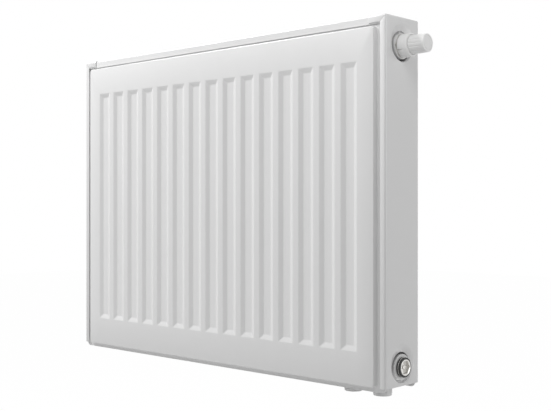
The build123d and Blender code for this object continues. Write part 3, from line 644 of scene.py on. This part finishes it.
def quarter(along, radius, size, start, count=5):
    """Corners of a rounded edge: a quarter circle about (along, radius), clockwise from start."""
    turns = [math.radians(start - 90 * index / count) for index in range(count + 1)]
    return [(along + size * math.cos(turn), radius + size * math.sin(turn)) for turn in turns]


valve_face = (cover_high[0], cover_middle, high_port)
drain_face = (cover_high[0], cover_middle, low_port)
print("lathe ready")

# %% [markdown]
# ## The knob's collar
# A short white sleeve screws over the valve and holds the knob. Its outer end is well rounded and
# turns in as a thin lip round the knob, and a short slit at its back edge lets it spring over the
# thread.

# %% Turn the collar and saw its slit
collar_low, collar_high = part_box("valve_collar")
collar_back, collar_front = collar_low[0] - cover_high[0], collar_high[0] - cover_high[0]
collar_outer = (collar_high[2] - collar_low[2]) / 2
collar_bore, lip_bore, lip_length, collar_round = 0.0141, 0.0133, 0.0022, 0.002
collar_outline = [(collar_back, collar_bore), (collar_back, collar_outer)]
round_middle = (collar_front - collar_round, collar_outer - collar_round)
collar_outline += quarter(*round_middle, collar_round, 90)
collar_outline += [(collar_front, lip_bore), (collar_front - lip_length, lip_bore)]
collar_outline += [(collar_front - lip_length, collar_bore)]
collar = turn("valve_collar_skin", valve_face, (1, 0, 0), collar_outline, True, steps=96)
slit_length, slit_width, slit_drop = 0.007, 0.001, math.radians(26)
saw_reach, saw_overhang = 0.006, 0.001
clear_choice()
bpy.ops.mesh.primitive_cube_add(
    size=1,
    location=(
        collar_low[0] + (slit_length - saw_overhang) / 2,
        cover_middle - collar_outer * math.cos(slit_drop),
        high_port - collar_outer * math.sin(slit_drop),
    ),
    rotation=(slit_drop, 0, 0),
    scale=(slit_length + saw_overhang, saw_reach, slit_width),
)
saw = bpy.context.object
apply_modifier(collar, "BOOLEAN", object=saw, operation="DIFFERENCE", solver="EXACT")
bpy.data.objects.remove(saw)
soften(collar, 0.00025, segments=2, angle=40)
put_down(collar, knob_white, "radiator", "knob_plastic", "valve_collar", smooth=35)

# %% [markdown]
# ## The hand knob
# The knob tapers a little towards its free end and has shallow flutes for the fingers, which stop
# before a plain end band. Small notches ring it where it leaves the collar. Its back flange is
# held under the collar's lip, and it is hollow round a hub that takes the pusher. Flutes and
# notches are pressed into the turned skin: every eighth line of the lathe's mesh is drawn in
# towards the axis for a flute, and its neighbours follow it a little.

# %% Turn the knob
knob_low, knob_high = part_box("valve_knob")
knob_back, knob_front = knob_low[0] - cover_high[0], knob_high[0] - cover_high[0]
knob_flange, flange_radius, knob_root, knob_tip = 0.0017, 0.01394, 0.013, 0.0122
knob_round, knob_wall = 0.0012, 0.002
hub_start, hub_radius, hub_bore = 0.018, 0.0075, 0.005
ring_radius, ring_width, ring_depth = 0.0095, 0.0007, 0.0006
lathe_steps, flute_count, flute_drop, notch_drop = 128, 16, 0.0007, 0.0011
notch_start, notch_end = collar_front - 0.0008, collar_front + 0.0009
flute_start, flute_end = collar_front + 0.0012, 0.0376
inner_end, skin_start = knob_front - knob_wall, knob_back + knob_flange


def knob_radius(along):
    """The tapering skin's radius at a distance from the cover."""
    return knob_root - (knob_root - knob_tip) * (along - skin_start) / (knob_front - skin_start)


skin_rows = [skin_start, notch_start - 0.0004, notch_start, notch_end - 0.0003, notch_end]
skin_rows += [flute_start, flute_start + 0.0004, flute_start + 0.0012]
skin_rows += [flute_end - 0.0016, flute_end - 0.0007, flute_end]
knob_outline = [(inner_end, 0), (inner_end, hub_bore)]
knob_outline += [(hub_start, hub_bore), (hub_start, hub_radius), (inner_end, hub_radius)]
knob_outline += [(inner_end, knob_tip - knob_wall), (knob_back, knob_root - knob_wall)]
knob_outline += [(knob_back, flange_radius), (skin_start, flange_radius)]
knob_outline += [(along, knob_radius(along)) for along in skin_rows]
knob_outline += quarter(knob_front - knob_round, knob_tip - knob_round, knob_round, 90)
knob_outline += [(knob_front, ring_radius + ring_width)]
knob_outline += [(knob_front - ring_depth, ring_radius + ring_width / 2)]
knob_outline += [(knob_front - ring_depth, ring_radius - ring_width / 2)]
knob_outline += [(knob_front, ring_radius - ring_width), (knob_front, 0.004), (knob_front, 0)]
knob = turn("valve_knob_skin", valve_face, (1, 0, 0), knob_outline, False, steps=lathe_steps)
print("knob turned,", len(knob.data.polygons), "faces")

# %% Press its flutes and notches
clear_choice()
bpy.context.view_layer.objects.active = knob
bpy.ops.object.mode_set(mode="EDIT")


def pick_skin(steps_off, first, last):
    """Select the skin's corners so many lathe steps off a flute's middle, between two rows."""
    period = lathe_steps // flute_count

    def wanted(vert):
        height, aside = vert.co.z - high_port, vert.co.y - cover_middle
        step = round(math.atan2(height, aside) / math.radians(360 / lathe_steps)) % period
        on_skin = math.hypot(height, aside) > knob_tip - 0.0009
        between = first < vert.co.x - cover_high[0] < last
        return on_skin and between and min(step, period - step) in steps_off

    return pick("verts", wanted)


def draw_in(drop, radius):
    """Move the selected corners towards the knob's axis."""
    shrink = 1 - drop / radius
    bpy.ops.transform.resize(value=(1, shrink, shrink), center_override=valve_face)


for steps_off, share in ((0, 1.0), (1, 0.35)):
    for ease, part in ((0.0003, 0.45), (0.001, 0.55)):
        pick_skin((steps_off,), flute_start + ease, flute_end - max(ease, 0.0004))
        draw_in(flute_drop * share * part, knob_tip)
print(pick_skin((3, 4), notch_start - 0.0002, notch_end - 0.0001), "notch corners")
draw_in(notch_drop, knob_root)
put_down(knob, knob_white, "knob", "knob_plastic", "valve_knob", smooth=50)

# %% [markdown]
# ## The drain plug and its rings
# The lower right port is closed by a nickel-plated plug with a wide hexagon socket and a small
# pip on the socket's floor. The turned plug is left open at the front, a circle of six sides is
# bridged to its mouth, and the hexagon's edge is drawn in to make the socket. Black rubber rings
# sit before and behind the plug's thin flange. They are turned from a section with rounded
# corners, as moulded rubber has.

# %% Turn the plug and press its socket
plug_low, plug_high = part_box("drain_plug_body")
plug_back, plug_front = plug_low[0] - cover_high[0], plug_high[0] - cover_high[0]
flange_back, flange_front, plug_flange = 0.0017, 0.0025, 0.0136
plug_head, head_round, plug_thread, mouth_radius = 0.011, 0.0005, 0.0104, 0.0101
socket_flats, socket_depth, socket_slope = 0.0164, 0.0045, 0.0006
pip_radius, pip_height = 0.0026, 0.0020
plug_outline = [(plug_back, 0), (plug_back, plug_thread)]
plug_outline += [(flange_back, plug_thread), (flange_back, plug_flange)]
plug_outline += [(flange_front, plug_flange), (flange_front, plug_head)]
plug_outline += quarter(plug_front - head_round, plug_head - head_round, head_round, 90, count=3)
plug_outline += [(plug_front, mouth_radius)]
plug = turn("drain_plug_skin", drain_face, (1, 0, 0), plug_outline, False, steps=48)
clear_choice()
bpy.context.view_layer.objects.active = plug
bpy.ops.object.mode_set(mode="EDIT")
bpy.ops.mesh.select_all(action="DESELECT")
hexagon_x = plug_high[0] - socket_slope
bpy.ops.mesh.primitive_circle_add(
    vertices=6, radius=socket_flats / 3 ** 0.5,
    location=(hexagon_x, cover_middle, low_port), rotation=(0, math.radians(90), 0),
)
bpy.ops.mesh.subdivide(number_cuts=7)
pick("edges", lambda e: len(e.link_faces) < 2 and middle_of(e).x > hexagon_x - socket_slope / 2)
bpy.ops.mesh.bridge_edge_loops()
pick("edges", lambda e: len(e.link_faces) == 1 and abs(middle_of(e).x - hexagon_x) < touch / 10)
socket_wall = (socket_slope - socket_depth, 0, 0)
bpy.ops.mesh.extrude_edges_move(TRANSFORM_OT_translate={"value": socket_wall})
floor_middle = Vector((plug_high[0] - socket_depth, cover_middle, low_port))
bpy.ops.mesh.extrude_edges_move(TRANSFORM_OT_translate={"value": (0, 0, 0)})
bpy.ops.transform.tosphere(value=1)
loop = [v.co.copy() for v in bmesh.from_edit_mesh(plug.data).verts if v.select]
shrink = pip_radius * len(loop) / sum((corner - floor_middle).length for corner in loop)
bpy.ops.transform.resize(value=(1, shrink, shrink), center_override=floor_middle)
bpy.ops.mesh.extrude_edges_move(TRANSFORM_OT_translate={"value": (pip_height, 0, 0)})
bpy.ops.mesh.edge_face_add()
bpy.ops.mesh.select_all(action="SELECT")
bpy.ops.mesh.normals_make_consistent(inside=False)
soften(plug, edge_round, segments=2, angle=40)
put_down(plug, nickel, "radiator", "nickel_brass", "drain_plug_body", smooth=35)


# %% Turn the rubber rings
def ring_piece(name, node, origin, inner, round_size):
    """A rubber ring with rounded outer corners, where its solid lies."""
    low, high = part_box(node)
    start, end = low[0] - origin[0], high[0] - origin[0]
    outer = (high[2] - low[2]) / 2
    outline = [(start, inner)]
    outline += quarter(start + round_size, outer - round_size, round_size, 180, count=4)
    outline += quarter(end - round_size, outer - round_size, round_size, 90, count=4)
    outline += [(end, inner)]
    ring = turn(name, origin, (1, 0, 0), outline, True)
    put_down(ring, rubber, "radiator", "black_rubber", node, smooth=50)


ring_piece("inner_seal_ring", "plug_inner_seal", drain_face, 0.0105, 0.0007)
ring_piece("outer_seal_ring", "plug_outer_ring", drain_face, 0.01106, 0.0009)

# %% [markdown]
# ## Pipe stubs and their transport caps
# Two threaded stubs point down under the right end. Until the pipes are fitted, each has a
# plastic cap pushed into it. The thread is turned as shallow ridges, and the cap has a rounded
# rim, a slightly sunk face and a pip in its middle. Both pairs are alike, so one function makes a
# pair where the solids lie.

# %% Turn the stubs and the caps
def stub_and_cap(stub_node, cap_node, cap_body):
    """A stub with thread ridges and the cap in its bore, where their solids lie."""
    low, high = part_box(stub_node)
    mouth = ((low[0] + high[0]) / 2, (low[1] + high[1]) / 2, low[2])
    tall, bore, root, crest = high[2] - low[2], 0.008, 0.0127, 0.01322
    ridges, ridge_pitch, thread_top = 6, 0.0018, 0.0123
    shoulder, shoulder_round = 0.017, 0.0006
    outline = [(0, bore), (0, root)]
    for ridge in range(ridges):
        foot = -0.0004 - ridge * ridge_pitch
        outline += [(foot, root), (foot - 0.0006, crest), (foot - 0.0009, crest)]
        outline += [(foot - 0.0015, root)]
    outline += [(-thread_top, root), (-thread_top, shoulder - shoulder_round)]
    outline += [(-thread_top - shoulder_round, shoulder), (-tall, shoulder), (-tall, bore)]
    stub = turn(stub_node + "_turned", mouth, (0, 0, -1), outline, True)
    put_down(stub, enamel, "radiator", "painted_white", stub_node, smooth=35)

    low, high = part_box(cap_node)
    head, head_radius, back_round, front_round = 0.002, (high[0] - low[0]) / 2, 0.0004, 0.0008
    plug_radius, plug_slope, plug_end = 0.00794, 0.0006, head - (high[2] - low[2])
    dip, dip_radius, pip, pip_foot = head - 0.0004, 0.0114, head - 0.0001, 0.0016
    outline = [(plug_end, 0), (plug_end, plug_radius - plug_slope)]
    outline += [(plug_end + plug_slope, plug_radius), (0, plug_radius)]
    outline += quarter(back_round, head_radius - back_round, back_round, 180, count=3)
    outline += quarter(head - front_round, head_radius - front_round, front_round, 90, count=4)
    outline += [(head, dip_radius + 0.0004), (dip, dip_radius), (dip, pip_foot)]
    outline += [(pip, pip_foot - 0.0003), (pip, 0)]
    cap = turn(cap_node + "_turned", mouth, (0, 0, -1), outline, False)
    put_down(cap, cap_white, cap_body, "cap_plastic", cap_node, smooth=35)


stub_and_cap("supply_stub", "supply_cap", "cap_supply")
stub_and_cap("return_stub", "return_cap", "cap_return")

# %% [markdown]
# ## The return spring
# A spring sits between the presetting sleeve and the collar of the spindle, and lifts the valve
# disc when the knob is opened. It gets shorter as the spindle travels in, where a stiff coil
# would push into the sleeve. The solid already has the right wire, so a copy with its own welded
# mesh rides on the spindle.

# %% Let the return spring ride on the spindle
clear_choice()
coil = bpy.data.objects.new("return_spring", frame["nodes"]["valve_spring"].data.copy())
coil.data.name = coil.name
bpy.context.scene.collection.objects.link(coil)
bpy.context.view_layer.objects.active = coil
coil.select_set(True)
bpy.ops.object.mode_set(mode="EDIT")
bpy.ops.mesh.select_all(action="SELECT")
bpy.ops.mesh.remove_doubles(threshold=0.000001)
bpy.ops.object.mode_set(mode="OBJECT")
put_down(coil, slot_finish["spring_steel"], "stem", "spring_steel", "valve_spring")
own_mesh(coil)

# %% [markdown]
# ## The studio
# A big soft lamp high on the left makes the front brighter towards the top left and shades the
# left wall of every groove. A wide lamp beyond the valve end and a weak one in front keep that
# end in even half shade, and a small one lifts the white knob. The floor and the air behind are
# white to the camera, but light the radiator no more than a pale room would.

# %% The floor
bpy.ops.object.select_all(action="DESELECT")
floor_size, floor_height = 16, -0.75
bpy.ops.mesh.primitive_plane_add(size=floor_size, location=(0, 0, floor_height))
floor = bpy.context.object
floor.name = "studio_floor"
floor_paint = Finish("pale_floor", base_color=(0.8, 0.8, 0.8, 1), roughness=0.9)


def seen_rays(tree):
    """A socket that is 1 for rays from the lens, a mirror or a clear piece, else 0."""
    path = tree.nodes.new("ShaderNodeLightPath")
    seen = path.outputs["Is Camera Ray"]
    for kind in ("Is Glossy Ray", "Is Transmission Ray"):
        either = tree.nodes.new("ShaderNodeMath")
        either.operation = "MAXIMUM"
        tree.links.new(seen, either.inputs[0])
        tree.links.new(path.outputs[kind], either.inputs[1])
        seen = either.outputs[0]
    return seen


glow_strength, glow_share, air_light, air_seen = 1.03, 0.95, 0.28, 1.0
glow = floor_paint.tree.nodes.new("ShaderNodeEmission")
glow.inputs["Strength"].default_value = glow_strength
mixer = floor_paint.tree.nodes.new("ShaderNodeMixShader")
seen_share = Wire(floor_paint, seen_rays(floor_paint.tree)) * glow_share
floor_paint.tree.links.new(seen_share.socket, mixer.inputs[0])
floor_paint.tree.links.new(floor_paint.shader.outputs[0], mixer.inputs[1])
floor_paint.tree.links.new(glow.outputs[0], mixer.inputs[2])
floor_paint.tree.links.new(mixer.outputs[0], floor_paint.tree.nodes["Material Output"].inputs[0])
dress(floor, floor_paint)
print("floor ready at height", floor_height)

# %% The air behind
world = bpy.data.worlds.new("studio_air")
world.use_nodes = True
bpy.context.scene.world = world
air = world.node_tree.nodes["Background"]
air.inputs["Color"].default_value = (1, 1, 1, 1)
air_strength = world.node_tree.nodes.new("ShaderNodeMapRange")
world.node_tree.links.new(seen_rays(world.node_tree), air_strength.inputs[0])
air_strength.inputs["To Min"].default_value = air_light
air_strength.inputs["To Max"].default_value = air_seen
world.node_tree.links.new(air_strength.outputs[0], air.inputs["Strength"])
print("air lights with", air_light, "and is seen with", air_seen)


# %% The lamps
def soft_lamp(name, place, target, size, power):
    """A flat soft lamp of a width and a depth at a place, aimed at a target."""
    data = bpy.data.lights.new(name, "AREA")
    data.shape = "RECTANGLE"
    data.size, data.size_y = size
    data.energy = power
    lamp = bpy.data.objects.new(name, data)
    lamp.location = place
    aim = Vector(target) - Vector(place)
    lamp.rotation_euler = aim.to_track_quat("-Z", "Y").to_euler()
    bpy.context.scene.collection.objects.link(lamp)
    return lamp


soft_lamp("key_lamp", (-1.1, -0.75, 1.3), (-0.1, -0.08, 0), (0.6, 0.6), 30.0)
soft_lamp("end_lamp", (1.6, 0.45, 0.03), (0.33, 0, 0), (0.5, 1.1), 4.4)
soft_lamp("fill_lamp", (0.5, -0.9, 0.8), (0.35, -0.05, 0.1), (0.3, 0.3), 2.1)
soft_lamp("knob_lamp", (0.52, -0.3, 0.5), (0.36, -0.05, 0.21), (0.15, 0.15), 0.33)
bpy.context.scene.view_settings.view_transform = "Standard"
print("studio ready")
